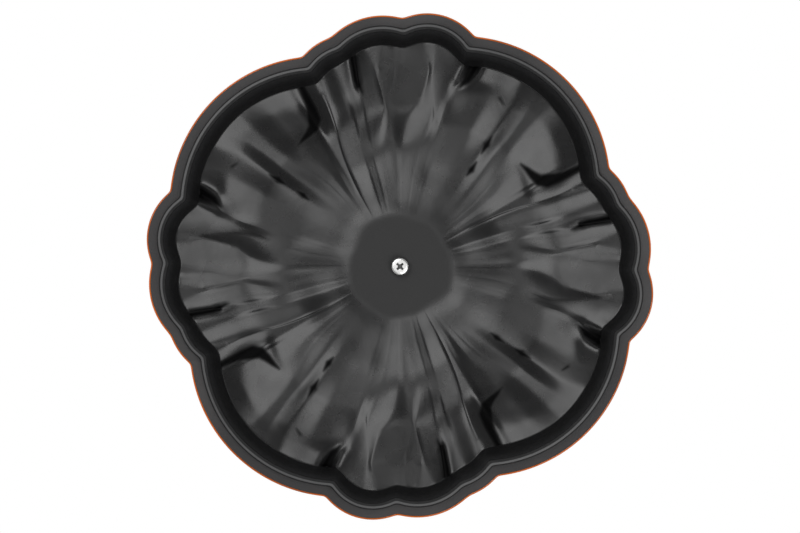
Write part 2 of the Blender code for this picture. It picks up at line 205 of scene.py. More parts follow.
# Knob, with its profile in shares of its height and of its foot's radius
KNOB_FOOT_RADIUS = 0.0150
KNOB_HEIGHT = 0.0340
KNOB_PROFILE = (
    (0.0, 0.97),
    (0.03, 1.0),
    (0.12, 0.88),
    (0.27, 0.738),
    (0.45, 0.64),
    (0.62, 0.6528),
    (0.78, 0.75),
    (0.91, 0.86),
    (0.97, 0.8514),
    (1.0, 0.774),
    (0.985, 0.5332),
)
KNOB_RIBS = 5
KNOB_RIB_SHARE = 0.09
KNOB_RIB_START = 0.3
KNOB_TWIST = 28.0
KNOB_LEAN = 0.0025
KNOB_BORE_DEPTH = 0.0140

# Painted shade in the deep folds of the relief: darker black, rougher and with less gleam; each a run of
# bearings, radii and half widths
PAINTED_SHADE_PATHS = (
    ((40.2, 0.0784, 0.0003), (37.4, 0.0792, 0.0012), (34.4, 0.0800, 0.0020), (31.6, 0.0815, 0.0028),
     (30.2, 0.0845, 0.0034), (29.4, 0.0890, 0.0028), (29.0, 0.0935, 0.0022), (28.8, 0.1000, 0.0018),
     (28.8, 0.1060, 0.0018)),
    ((12.0, 0.0862, 0.0001), (12.6, 0.0905, 0.0010), (13.2, 0.0950, 0.0012), (12.8, 0.1060, 0.0016)),
    ((71.6, 0.0935, 0.0006), (70.4, 0.0980, 0.0020), (69.8, 0.1060, 0.0026)),
    ((54.2, 0.0690, 0.0001), (54.6, 0.0740, 0.0016), (54.8, 0.0790, 0.0002)),
    ((53.8, 0.0560, 0.0002), (53.6, 0.0595, 0.0014), (53.8, 0.0640, 0.0002)),
    ((57.4, 0.0950, 0.0002), (59.4, 0.0965, 0.0006)),
)

# Softening of the relief, and the folds that stay sharp between two shares
SOFT_PASSES = 20
SOFT_LENGTH = 0.0018
SOFT_LIMIT = 0.4
SHARP_FOLDS = {
    "crease crest": (0.20, 0.92),
    "slot": (0.82, 1.0),
    "first crest": (0.70, 0.92),
    "third foot": (0.60, 0.86),
}

# Fineness and margins
FOLD_STEP = 0.5
RELIEF_RINGS = 140
WALL_RINGS = 12
SHOULDER_RINGS = 14
CROWN_RINGS = 60
ARC_STEPS = 6
KNOB_STEPS = 160
KNOB_RINGS = 61
HEAD_STEPS = 96
HEAD_ARC_STEPS = 8
CORE_STEPS = 32
KNOB_SHARP_ANGLE = 50.0
SCREW_SHARP_ANGLE = 35.0
BOX_MARGIN = 0.00008
PAD_MARGIN = 0.0004
SKIN_MARGIN = 0.0001

# Finishes of the casting, in the order of its material slots
HOLLOW_SLOT, SEAT_SLOT, WALL_SLOT, LIP_HIGHLIGHT_SLOT = range(4)

# Width of the painted highlight on the lip's foot, fades of the pad's matt finish and of the painted shade in
# the folds, and how steeply the painted light on the wall rises
LIP_HIGHLIGHT_WIDTH = 0.0010
PAD_FADE = 0.0040
PAINTED_SHADE_EDGE = 0.0020
PAINTED_LIGHT_POWER = 4

# Colours, where a pair is the two ends of a mix
HOLLOW_BLACKS = ((0.0030, 0.0030, 0.0032), (0.0065, 0.0065, 0.0068))
PAD_BLACKS = ((0.004, 0.004, 0.0041), (0.014, 0.014, 0.0142))
# Painted shade in the deep folds
PAINTED_SHADE_BLACK = (0.0012, 0.0012, 0.0013)
WALL_BLACKS = ((0.0030, 0.0030, 0.0032), (0.0060, 0.0060, 0.0064))
# Painted light on the wall, palest at the lip
PAINTED_LIGHT_GREY = (0.020, 0.020, 0.021)
SEAT_GREYS = ((0.024, 0.024, 0.025), (0.084, 0.084, 0.086))
WORN_GREY = (0.094, 0.094, 0.095)
# Painted highlight on the lip's foot, far paler than the black around it
LIP_HIGHLIGHT_GREYS = ((0.035, 0.035, 0.036), (0.070, 0.070, 0.071))
GLAZE_COLOURS = ((0.62, 0.135, 0.012), (0.14, 0.018, 0.004))
SILICONE_GREYS = ((0.07, 0.07, 0.07), (0.12, 0.12, 0.12))
KNOB_STEEL = (0.62, 0.60, 0.57)
SCREW_STEEL = (0.80, 0.80, 0.79)
# Painted shade in the screw's cross recess
RECESS_SHADE_STEEL = (0.10, 0.10, 0.10)
WASHER_STEEL = (0.36, 0.36, 0.37)
STEEL_SHADE = 0.8
FLOOR_GREY = (0.86, 0.86, 0.86)
CARD_GREY = (0.42, 0.42, 0.42)
WHITE = (1.0, 1.0, 1.0)

# Noise of the finishes: scale, with detail and roughness where they are not the usual ones
NOISE_DETAIL = 4.0
NOISE_ROUGHNESS = 0.55
GRAIN = (1500.0, 3.0, 0.7)
HOLLOW_CLOUDS = 28.0
SATIN_CLOUDS = 45.0
HOLLOW_WAVES = (140.0, 2.0)
HOLLOW_PORES = (2600.0, 2.0)
WALL_CLOUDS = 60.0
WALL_PATCHES = 300.0
WALL_GRAIN = (1800.0, 3.0)
SEAT_WEAR = (14.0, 2.0)
LIP_HIGHLIGHT_PATCHES = 220.0
LIP_GRAIN = 1800.0
GLAZE_CLOUDS = 35.0
GLAZE_PATCHES = 60.0
GLAZE_WAVES = (120.0, 2.0)
STEEL_CLOUDS = 400.0
STEEL_PATCHES = 900.0
STEEL_SCRATCHES = (3000.0, 3.0)
SILICONE_GRAIN = 1800.0

# Ranges that noise mostly keeps to, and how far wear, grooves and clouds change a colour
USUAL_RANGE = (0.3, 0.7)
SATIN_RANGE = (0.35, 0.65)
SEAT_WEAR_RANGE = (0.42, 0.68)
SEAT_WEAR_MOST = 0.75
GROOVE_DARKNESS = 0.85
GLAZE_CLOUDING = 0.12

# Roughness and gleam of the finishes
SATIN_ROUGHNESS = (0.24, 0.32)
PAD_ROUGHNESS = 0.46
PAINTED_SHADE_ROUGHNESS = 0.62
WALL_ROUGHNESS = (0.50, 0.65)
SEAT_ROUGHNESS = (0.62, 0.78)
LIP_ROUGHNESS = (0.35, 0.50)
GLAZE_ROUGHNESS = (0.07, 0.14)
SILICONE_ROUGHNESS = (0.55, 0.70)
KNOB_ROUGHNESS = (0.20, 0.34)
SCREW_ROUGHNESS = (0.14, 0.26)
RECESS_ROUGHNESS = (0.45, 0.60)
WASHER_ROUGHNESS = (0.28, 0.42)
SATIN_GLEAM = 0.5
PAD_GLEAM = 0.34
# Gleam lowered in the deep folds as painted shade
PAINTED_SHADE_GLEAM = 0.05
WALL_GLEAM = 0.28
ENAMEL_IOR = 1.52
GLAZE_COAT = 0.6
GLAZE_COAT_ROUGHNESS = 0.04

# Bumps of the finishes: strength and depth
WAVE_BUMP = (0.10, 0.0006)
PORE_BUMP = (0.12, 0.00012)
GRAIN_BUMP = (0.10, 0.0002)
WALL_BUMP = (0.25, 0.0002)
SEAT_BUMP = (0.35, 0.0003)
LIP_BUMP = (0.15, 0.0001)
GLAZE_BUMP = (0.10, 0.0005)
STEEL_BUMP = (0.20, 0.00008)
SCREW_BUMP = (0.15, 0.00008)

# View and light
CAMERA_DISTANCE = 1.10
PICTURE_WIDTH = 0.3888
SENSOR_WIDTH = 36.0
CLIP_START = 0.01
LOW_LAMP_POLAR = 29.0
LOW_LAMP_DISTANCE = 0.95
LOW_LAMP_SIZE = 0.58
LOW_LAMP_RADIANCE = 3.5
UPPER_LAMP_SIZE = 1.0
KEY_PLACE = (-1.0, -1.1, 1.5)
KEY_RADIANCE = 3.0
FILL_PLACE = (1.3, -0.4, 1.2)
FILL_RADIANCE = 1.2
SURROUND_STRENGTH = 0.45

# Floor, and the card under the camera
FLOOR_STEPS = 360
FLOOR_RADIUS = 4.0
FLOOR_INSET = 0.0030
FLOOR_FOOT_INSET = 0.0058
FLOOR_ROUGHNESS = 0.8
CARD_STEPS = 120
CARD_HOLE = 0.25
CARD_RADIUS = 3.0
CARD_HEIGHT = -1.2
CARD_ROUGHNESS = 0.9

QUARTER = 360.0 / QUARTERS
LIP_INSIDE = SEAT_WIDTH + LIP_WIDTH
FOOT_INSET = LIP_INSIDE + WALL_RUN
PAD_TOP = PAD_HEIGHT + IRON_THICKNESS
GLAZE_TOP = PAD_TOP + GAP + GLAZE


def smooth(share):
    """Ease from 0 to 1."""
    share = np.clip(share, 0.0, 1.0)
    return share * share * (3.0 - 2.0 * share)


def soft_max(values, rounding):
    """Largest value at each place, with the change from one to the next rounded off."""
    values = np.array(values)
    top = values.max(axis=0)
    return top + rounding * np.log(np.exp((values - top) / rounding).sum(axis=0))


def outline(bearing, inset, rounding):
    """Radius of the lid's outline at each bearing, drawn in by inset."""
    lobes = [(BROAD_BEARING, BROAD_REACH, BROAD_RADIUS), *zip(BULGE_BEARINGS, BULGE_REACHES, BULGE_RADII)]
    reaches = []
    for quarter in range(QUARTERS):
        for lobe_bearing, reach, radius in lobes:
            turn = np.radians(bearing - lobe_bearing - quarter * QUARTER)
            centre = reach - radius
            chord = (radius - inset) ** 2 - (centre * np.sin(turn)) ** 2
            reaches.append(centre * np.cos(turn) + np.sqrt(np.maximum(chord, 0.0)))
    return soft_max(reaches, rounding)


def wall_foot(bearing):
    """Radius where the hollow's wall meets the dome."""
    return outline(bearing, FOOT_INSET, WALL_FOOT_ROUNDING)


def hermite(t, start, end, start_slope, end_slope):
    """Smooth value between two ends at t from 0 to 1."""
    rise = (3 * t**2 - 2 * t**3) * (end - start)
    return start + rise + (t**3 - 2 * t**2 + t) * start_slope + (t**3 - t**2) * end_slope


def along_fold(share, values):
    """Value on a fold line at a share of the way from the pad to the wall, smooth up to the shoulder."""
    stations = np.array(FOLD_STATIONS)
    values = np.array(values, dtype=float)
    slopes = np.diff(values) / np.diff(stations)
    bends = np.zeros(len(stations))
    same_way = slopes[:-1] * slopes[1:] > 0
    bends[1:-1][same_way] = (2 * slopes[:-1] * slopes[1:])[same_way] / (slopes[:-1] + slopes[1:])[same_way]
    bends[0] = slopes[0]
    bends[-2:] = slopes[-2:]
    first = int(np.clip(np.searchsorted(stations, share, side="right") - 1, 0, len(slopes) - 1))
    if first == len(slopes) - 1:
        return float(np.interp(share, stations, values))
    width = stations[first + 1] - stations[first]
    t = (share - stations[first]) / width
    return float(hermite(t, values[first], values[first + 1], width * bends[first], width * bends[first + 1]))


def fold_lines(share):
    """Bearings of one quarter's fold lines and their drops below the dome, up to the next quarter's first."""
    bearings = [along_fold(share, line[0]) for line in FOLDS.values()]
    dome = along_fold(share, DOME)
    drops = [MILLIMETRE * (along_fold(share, line[1]) + dome) for line in FOLDS.values()]
    return bearings + [bearings[0] + QUARTER], drops + drops[:1]


def fold_pieces():
    """Number of vertices from each fold line of a quarter to the next."""
    widest = fold_lines(1.0)[0]
    return [max(1, round((after - line) / FOLD_STEP)) for line, after in zip(widest, widest[1:])]


def fold_ring(share):
    """Bearings of a ring's vertices, one on each fold line, and the folds' drop at each."""
    bearings, drops = fold_lines(share)
    ring_bearings, ring_drops = [], []
    for line, pieces in enumerate(fold_pieces()):
        t = np.arange(pieces) / pieces
        slope = FOLD_SHARPNESS * (drops[line + 1] - drops[line])
        ring_bearings.append(bearings[line] + t * (bearings[line + 1] - bearings[line]))
        ring_drops.append(hermite(t, drops[line], drops[line + 1], slope, slope))
    turns = np.arange(QUARTERS)[:, None] * QUARTER
    return (np.concatenate(ring_bearings) + turns).ravel(), np.tile(np.concatenate(ring_drops), QUARTERS)


def even_bearings(count):
    """Bearings all round, evenly spaced."""
    return np.arange(count) * 360.0 / count


def ring_points(bearing, radius, height):
    """Vertices of a ring, placed at the angle -bearing about +Z."""
    angle = np.radians(bearing)
    height = np.broadcast_to(height, angle.shape)
    radius = np.broadcast_to(radius, angle.shape)
    return np.stack([radius * np.cos(angle), -radius * np.sin(angle), height], axis=1)


def ceiling(share):
    """Height of the dome's underside without its folds, from the pad at 0 to the wall's foot at 1."""
    step = PAD_STEP * smooth(share / PAD_STEP_SHARE)
    return PAD_HEIGHT + step + MILLIMETRE * along_fold(share, DOME)


def pad_edge(bearing):
    """Radius of the pad's uneven edge."""
    waves = [size * np.cos(np.radians(count * bearing + turn)) for count, size, turn in PAD_WAVES]
    return PAD_RADIUS * (1.0 + sum(waves))


def sharp_places(shares):
    """Places on a run of rings where a fold stays sharp."""
    pieces = fold_pieces()
    sharp = []
    for share in shares:
        quarter = []
        for name, count in zip(FOLDS, pieces):
            low, high = SHARP_FOLDS.get(name, (1.0, 0.0))
            quarter += [low <= share <= high] + [False] * (count - 1)
        sharp.append(quarter * QUARTERS)
    return np.array(sharp)


def relief(rings):
    """Bearings, radii and heights of the underside and the folds' drops, on even rings from pad to wall."""
    shares = np.arange(-round(PAD_BLEND * rings), rings + 1) / rings
    bearings, drops = (np.array(part) for part in zip(*(fold_ring(max(share, 0.0)) for share in shares)))
    heights = np.array([ceiling(max(share, 0.0)) for share in shares])[:, None] - drops
    reach = wall_foot(bearings) - pad_edge(bearings)
    radii = pad_edge(bearings) + shares[:, None] * reach
    across = np.radians(np.roll(bearings, -1, axis=1) - bearings) % (2.0 * math.pi) * radii
    along = reach / rings
    strength = SOFT_LENGTH**2 / (2 * SOFT_PASSES)
    weight_across = np.minimum(SOFT_LIMIT, strength / (0.5 * (across + np.roll(across, 1, axis=1)))**2)
    weight_along = np.minimum(SOFT_LIMIT, strength / along**2)
    free = ~sharp_places(shares)
    free[0] = free[-1] = False
    level = heights
    for _ in range(SOFT_PASSES):
        around = 0.5 * (np.roll(heights, 1, axis=1) + np.roll(heights, -1, axis=1)) - heights
        heights = heights + np.where(free, weight_across * around, 0.0)
        outward = np.zeros_like(heights)
        outward[1:-1] = 0.5 * (heights[2:] + heights[:-2]) - heights[1:-1]
        heights = heights + np.where(free, weight_along * outward, 0.0)
    return bearings, radii, heights, drops + level - heights


def inner_rings():
    """Rings of the folded underside."""
    return [ring_points(*ring) for ring in zip(*relief(RELIEF_RINGS)[:3])]


def outer_rings():
    """Rings of the top from the shoulder to the pad, which repeats the underside's folds."""
    bearings, radii, heights, drops = relief(CROWN_RINGS)
    tops = heights + IRON_THICKNESS + (1.0 - OUTSIDE_SHARE) * drops
    return [ring_points(*ring) for ring in zip(bearings, radii, tops)][::-1]


def rim_ring(inset, height):
    """Ring that follows the outline at a set inset."""
    bearing = fold_ring(1.0)[0]
    return ring_points(bearing, outline(bearing, inset, NOTCH_ROUNDING), height)


def wall_rings(top):
    """Rings down the hollow's wall, from its foot towards the lip."""
    bottom = rim_ring(LIP_INSIDE, LIP_ROUNDING)
    return [top + (bottom - top) * (ring / WALL_RINGS) for ring in range(1, WALL_RINGS + 1)]


def arc_rings(inset, height, start, stop):
    """Rings around a rounded edge of the lip, centred at an inset and height, by angle from the outside."""
    rings = []
    for step in range(ARC_STEPS + 1):
        angle = math.radians(start + (stop - start) * step / ARC_STEPS)
        across = LIP_ROUNDING * math.cos(angle)
        up = LIP_ROUNDING * math.sin(angle)
        rings.append(rim_ring(inset - across, height - up))
    return rings


def shoulder_rings(crown):
    """Rings from the seat's outer edge up to the crown, bulging outwards."""
    edge = rim_ring(GLAZE + GAP + BOX_MARGIN, LIP_HEIGHT + EDGE_HEIGHT)
    rings = [rim_ring(GLAZE + GAP + BOX_MARGIN, LIP_HEIGHT), edge]
    for ring in range(1, SHOULDER_RINGS + 1):
        share = ring / (SHOULDER_RINGS + 1)
        bulge = share * (1.0 - share) * (crown - edge)
        point = edge + (crown - edge) * share
        point[:, :2] -= SHOULDER_BULGE * bulge[:, :2]
        point[:, 2] += SHOULDER_LIFT * bulge[:, 2]
        rings.append(point)
    return rings


def hole_ring(ring, height, margin=0.0):
    """Ring around the screw's hole, with a vertex on each bearing of the pad's ring."""
    bearing = -np.degrees(np.arctan2(ring[:, 1], ring[:, 0]))
    return ring_points(bearing, HOLE_RADIUS + margin, height)


def top_rings():
    """Rings of the casting's outside, from the seat's outer edge to the knob's pad."""
    crown = outer_rings()
    return shoulder_rings(crown[0]) + crown


def offset_rings(rings, distance):
    """Rings moved outwards along the surface, with the seat's edge and the pad kept level."""
    grid = np.array(rings)
    along = np.gradient(grid, axis=0)
    around = np.roll(grid, -1, axis=1) - np.roll(grid, 1, axis=1)
    normal = np.cross(along, around)
    normal[0, :, 2] = 0.0
    normal[-1, :, :2] = 0.0
    normal /= np.linalg.norm(normal, axis=2, keepdims=True)
    normal *= np.sign(normal[-1, 0, 2])
    return list(grid + normal * distance)


def ring_mesh(name, rings, materials, zones=(), closed=True):
    """Object skinned over a run of rings; zones gives the material slot of each gap between two."""
    count = len(rings[0])
    points = np.concatenate(rings)
    faces, slots = [], []
    gaps = len(rings) if closed else len(rings) - 1
    for gap in range(gaps):
        here = gap * count
        there = (gap + 1) % len(rings) * count
        for i in range(count):
            j = (i + 1) % count
            faces.append((here + i, here + j, there + j, there + i))
        slots += [zones[gap] if gap < len(zones) else 0] * count
    if not closed:
        faces += [tuple(range(count))[::-1], tuple(range(len(points) - count, len(points)))]
        slots += [0, 0]
    mesh = bpy.data.meshes.new(name)
    mesh.from_pydata(points.tolist(), [], faces)
    for material in materials:
        mesh.materials.append(material)
    mesh.polygons.foreach_set("material_index", slots)
    shape = bmesh.new()
    shape.from_mesh(mesh)
    bmesh.ops.recalc_face_normals(shape, faces=shape.faces)
    shape.to_mesh(mesh)
    shape.free()
    mesh.shade_smooth()
    piece = bpy.data.objects.new(name, mesh)
    bpy.context.collection.objects.link(piece)
    return piece


def new_material(name):
    """Node material with its tree and its shader."""
    material = bpy.data.materials.new(name)
    material.use_nodes = True
    return material, material.node_tree, material.node_tree.nodes["Principled BSDF"]


def node(tree, kind, **values):
    """Node of a kind, with its plain properties set."""
    made = tree.nodes.new(kind)
    for key, value in values.items():
        setattr(made, key, value)
    return made


def noise(tree, scale, detail=NOISE_DETAIL, roughness=NOISE_ROUGHNESS):
    """Noise over the object's own coordinates, as its Fac output."""
    place = node(tree, "ShaderNodeTexCoord")
    made = node(tree, "ShaderNodeTexNoise")
    made.inputs["Scale"].default_value = scale
    made.inputs["Detail"].default_value = detail
    made.inputs["Roughness"].default_value = roughness
    tree.links.new(place.outputs["Object"], made.inputs["Vector"])
    return made.outputs["Fac"]


def span(tree, source, target, given=USUAL_RANGE):
    """A value's given range mapped onto a target range."""
    made = node(tree, "ShaderNodeMapRange")
    made.inputs["From Min"].default_value, made.inputs["From Max"].default_value = given
    made.inputs["To Min"].default_value, made.inputs["To Max"].default_value = target
    tree.links.new(source, made.inputs["Value"])
    return made.outputs["Result"]


def set_input(tree, socket, value):
    """Give a socket an output, a colour or a number."""
    if isinstance(value, bpy.types.NodeSocket):
        tree.links.new(value, socket)
    else:
        socket.default_value = (*value, 1.0) if isinstance(value, tuple) else value


def mix(tree, kind, factor, first, second):
    """Colour or value mixed by a factor from first to second, each of them given or an output."""
    made = node(tree, "ShaderNodeMix", data_type=kind)
    tree.links.new(factor, made.inputs["Factor"])
    set_input(tree, made.inputs["A"], first)
    set_input(tree, made.inputs["B"], second)
    return made.outputs["Result"]


def mix_colour(tree, factor, first, second):
    """Colour mixed from first to second by a factor."""
    return mix(tree, "RGBA", factor, first, second)


def mix_value(tree, factor, first, second):
    """Value mixed from first to second by a factor."""
    return mix(tree, "FLOAT", factor, first, second)


def attribute(tree, name):
    """One of the mesh's own values, as its Fac output."""
    return node(tree, "ShaderNodeAttribute", attribute_name=name).outputs["Fac"]


def bump(tree, height, strength, distance, before=None):
    """Bump from a height, over another bump where one is given."""
    made = node(tree, "ShaderNodeBump")
    made.inputs["Strength"].default_value = strength
    made.inputs["Distance"].default_value = distance
    tree.links.new(height, made.inputs["Height"])
    if before is not None:
        tree.links.new(before, made.inputs["Normal"])
    return made.outputs["Normal"]


def black_enamel():
    """Satin black enamel of the hollow, wavy and pored, with painted shade in the deep folds and matt on the
    pad.
    """
    material, tree, shader = new_material("black_enamel")
    painted_shade_mask = attribute(tree, "painted_shade_mask")
    pad = attribute(tree, "pad")
    cloud = mix_colour(tree, noise(tree, HOLLOW_CLOUDS), *HOLLOW_BLACKS)
    grain = noise(tree, *GRAIN)
    matt = mix_colour(tree, grain, *PAD_BLACKS)
    satin = span(tree, noise(tree, SATIN_CLOUDS), SATIN_ROUGHNESS, SATIN_RANGE)
    # Painted shade: darker, rougher and less glossy black in the deep folds
    colour = mix_colour(tree, painted_shade_mask, mix_colour(tree, pad, cloud, matt), PAINTED_SHADE_BLACK)
    roughness = mix_value(tree, painted_shade_mask, mix_value(tree, pad, satin, PAD_ROUGHNESS), PAINTED_SHADE_ROUGHNESS)
    gleam = mix_value(tree, painted_shade_mask, mix_value(tree, pad, SATIN_GLEAM, PAD_GLEAM), PAINTED_SHADE_GLEAM)
    waves = bump(tree, noise(tree, *HOLLOW_WAVES), *WAVE_BUMP)
    pores = bump(tree, noise(tree, *HOLLOW_PORES), *PORE_BUMP, waves)
    set_input(tree, shader.inputs["Base Color"], colour)
    set_input(tree, shader.inputs["Roughness"], roughness)
    set_input(tree, shader.inputs["Specular IOR Level"], gleam)
    set_input(tree, shader.inputs["Normal"], bump(tree, grain, *GRAIN_BUMP, pores))
    set_input(tree, shader.inputs["IOR"], ENAMEL_IOR)
    return material


def wall_enamel():
    """Dull black enamel of the hollow's wall, fired thin over rough casting, with painted light that turns it
    paler towards the lip.
    """
    material, tree, shader = new_material("wall_enamel")
    black = mix_colour(tree, noise(tree, WALL_CLOUDS), *WALL_BLACKS)
    # Painted light: the wall's black turns paler grey towards the lip
    colour = mix_colour(tree, attribute(tree, "painted_light_near_lip"), black, PAINTED_LIGHT_GREY)
    set_input(tree, shader.inputs["Base Color"], colour)
    set_input(tree, shader.inputs["Roughness"], span(tree, noise(tree, WALL_PATCHES), WALL_ROUGHNESS))
    set_input(tree, shader.inputs["Specular IOR Level"], WALL_GLEAM)
    set_input(tree, shader.inputs["Normal"], bump(tree, noise(tree, *WALL_GRAIN), *WALL_BUMP))
    return material


def seat_enamel():
    """Matt grainy enamel of the ground seat band."""
    material, tree, shader = new_material("seat_enamel")
    grain = noise(tree, *GRAIN)
    fine = mix_colour(tree, grain, *SEAT_GREYS)
    worn = span(tree, noise(tree, *SEAT_WEAR), (0.0, SEAT_WEAR_MOST), SEAT_WEAR_RANGE)
    set_input(tree, shader.inputs["Base Color"], mix_colour(tree, worn, fine, WORN_GREY))
    set_input(tree, shader.inputs["Roughness"], span(tree, grain, SEAT_ROUGHNESS))
    set_input(tree, shader.inputs["Normal"], bump(tree, grain, *SEAT_BUMP))
    return material


def lip_painted_highlight():
    """Pale grey strip on the foot of the lip, a painted highlight along its outer rounded edge."""
    material, tree, shader = new_material("lip_painted_highlight")
    highlight_patches = noise(tree, LIP_HIGHLIGHT_PATCHES)
    # Painted highlight: pale grey in patches
    set_input(tree, shader.inputs["Base Color"], mix_colour(tree, highlight_patches, *LIP_HIGHLIGHT_GREYS))
    set_input(tree, shader.inputs["Roughness"], span(tree, highlight_patches, LIP_ROUGHNESS))
    set_input(tree, shader.inputs["Normal"], bump(tree, noise(tree, LIP_GRAIN), *LIP_BUMP))
    return material


def orange_glaze():
    """Glossy burnt-orange glaze, darker where it runs thin or pools in the grooves."""
    material, tree, shader = new_material("orange_glaze_finish")
    depth = span(tree, attribute(tree, "groove"), (0.0, GROOVE_DARKNESS), (0.0, 1.0))
    cloud = span(tree, noise(tree, GLAZE_CLOUDS), (-GLAZE_CLOUDING, GLAZE_CLOUDING))
    darkness = node(tree, "ShaderNodeMath", operation="ADD", use_clamp=True)
    set_input(tree, darkness.inputs[0], depth)
    set_input(tree, darkness.inputs[1], cloud)
    set_input(tree, shader.inputs["Base Color"], mix_colour(tree, darkness.outputs[0], *GLAZE_COLOURS))
    set_input(tree, shader.inputs["Roughness"], span(tree, noise(tree, GLAZE_PATCHES), GLAZE_ROUGHNESS))
    set_input(tree, shader.inputs["Normal"], bump(tree, noise(tree, *GLAZE_WAVES), *GLAZE_BUMP))
    set_input(tree, shader.inputs["Coat Weight"], GLAZE_COAT)
    set_input(tree, shader.inputs["Coat Roughness"], GLAZE_COAT_ROUGHNESS)
    return material


def steel(name, colour, roughness, scratches=STEEL_BUMP):
    """Metal with fine noise in its roughness and short scratches in its bump."""
    material, tree, shader = new_material(name)
    darker = tuple(STEEL_SHADE * part for part in colour)
    set_input(tree, shader.inputs["Metallic"], 1.0)
    set_input(tree, shader.inputs["Base Color"], mix_colour(tree, noise(tree, STEEL_CLOUDS), darker, colour))
    set_input(tree, shader.inputs["Roughness"], span(tree, noise(tree, STEEL_PATCHES), roughness))
    set_input(tree, shader.inputs["Normal"], bump(tree, noise(tree, *STEEL_SCRATCHES), *scratches))
    return material


def silicone():
    """Matt grey rubber of the gasket."""
    material, tree, shader = new_material("gasket_silicone")
    grain = noise(tree, SILICONE_GRAIN)
    set_input(tree, shader.inputs["Base Color"], mix_colour(tree, grain, *SILICONE_GREYS))
    set_input(tree, shader.inputs["Roughness"], span(tree, grain, SILICONE_ROUGHNESS))
    return material


def path_distance(place, path):
    """Distance of each place from a path of bearings, radii and half widths, less the width there."""
    bearing, radius, width = np.array(path).T
    corners = ring_points(bearing, radius, 0.0)[:, :2]
    nearest = np.full(len(place), np.inf)
    for start, stop, near, far in zip(corners, corners[1:], width, width[1:]):
        along = np.clip((place - start) @ (stop - start) / ((stop - start) @ (stop - start)), 0.0, 1.0)
        gap = np.linalg.norm(place - start - along[:, None] * (stop - start), axis=1)
        nearest = np.minimum(nearest, gap - near - along * (far - near))
    return nearest


def painted_shade(ring):
    """How far each vertex of a ring lies in the painted shade of a deep fold, from 0 to 1."""
    nearest = np.full(len(ring), np.inf)
    for quarter in range(QUARTERS):
        for path in PAINTED_SHADE_PATHS:
            turned = [(bearing + quarter * QUARTER, radius, width) for bearing, radius, width in path]
            nearest = np.minimum(nearest, path_distance(ring[:, :2], turned))
    return smooth(0.5 - nearest / PAINTED_SHADE_EDGE)


def pad_cover(ring):
    """How far each vertex of a ring lies on the pad, from 0 to 1."""
    bearing = -np.degrees(np.arctan2(ring[:, 1], ring[:, 0]))
    return smooth(0.5 - (np.hypot(ring[:, 0], ring[:, 1]) - pad_edge(bearing)) / PAD_FADE)


def add_attribute(piece, name, rings, first, values):
    """Store a value for each vertex of a piece's rings: those given from a ring onwards, and 0 elsewhere."""
    spread = np.zeros((len(rings), len(rings[0])))
    spread[first:first + len(values)] = values
    made = piece.data.attributes.new(name, "FLOAT", "POINT")
    made.data.foreach_set("value", spread.ravel().astype(np.float32))


def make_lid_iron():
    """Fine casting: pad, folded dome, wall, lip, seat and outside."""
    underside = inner_rings()
    hole = [hole_ring(underside[0], PAD_HEIGHT), hole_ring(underside[0], PAD_HEIGHT, PAD_MARGIN)]
    floor = hole + underside
    wall = wall_rings(underside[-1])
    lip = arc_rings(LIP_INSIDE - LIP_ROUNDING, LIP_ROUNDING, 180.0, 90.0)[1:]
    lip += arc_rings(SEAT_WIDTH + LIP_ROUNDING, LIP_ROUNDING, 90.0, 0.0)
    # Strip of painted highlight on the lip's foot, beside its outer rounding
    lip.insert(ARC_STEPS, rim_ring(SEAT_WIDTH + LIP_ROUNDING + LIP_HIGHLIGHT_WIDTH, 0.0))
    seat = rim_ring(SEAT_WIDTH, LIP_HEIGHT)
    outside = top_rings()
    rings = [*floor, *wall, *lip, seat, *outside, hole_ring(outside[-1], PAD_TOP)]
    zones = [HOLLOW_SLOT] * (len(floor) - 1) + [WALL_SLOT] * (len(wall) + ARC_STEPS + 1)
    zones += [LIP_HIGHLIGHT_SLOT] + [WALL_SLOT] * (ARC_STEPS + 1) + [SEAT_SLOT]
    piece = ring_mesh("lid_iron", rings, [black_enamel(), seat_enamel(), wall_enamel(), lip_painted_highlight()], zones)
    # Painted light on the wall, from almost none at its foot to full at the lip
    painted_light_near_lip = smooth(np.arange(1, len(wall) + 1) / len(wall)) ** PAINTED_LIGHT_POWER
    # Mask of the painted shade in the deep folds of the underside
    add_attribute(piece, "painted_shade_mask", rings, 0, [painted_shade(ring) for ring in floor])
    add_attribute(piece, "pad", rings, 0, [pad_cover(ring) for ring in floor])
    add_attribute(piece, "painted_light_near_lip", rings, len(floor), painted_light_near_lip[:, None])
    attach(piece, "root")
    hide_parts("lid_casting")


def make_glaze_skin():
    """Fine glaze over the casting's outside."""
    top = top_rings()
    outside = offset_rings(top, GAP + GLAZE)
    inside = offset_rings(top, SKIN_MARGIN)
    hole = [hole_ring(outside[-1], GLAZE_TOP), hole_ring(inside[-1], PAD_TOP + SKIN_MARGIN)]
    rings = [*outside, *hole, *inside[::-1]]
    piece = ring_mesh("glaze_skin", rings, [orange_glaze()])
    crown = relief(CROWN_RINGS)[3][::-1]
    drops = [crown[0]] * (len(outside) - len(crown)) + list(crown)
    add_attribute(piece, "groove", rings, 0, np.clip(np.array(drops) / GROOVE_DEPTH, 0.0, 1.0))
    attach(piece, "root")
    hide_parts("outer_enamel")


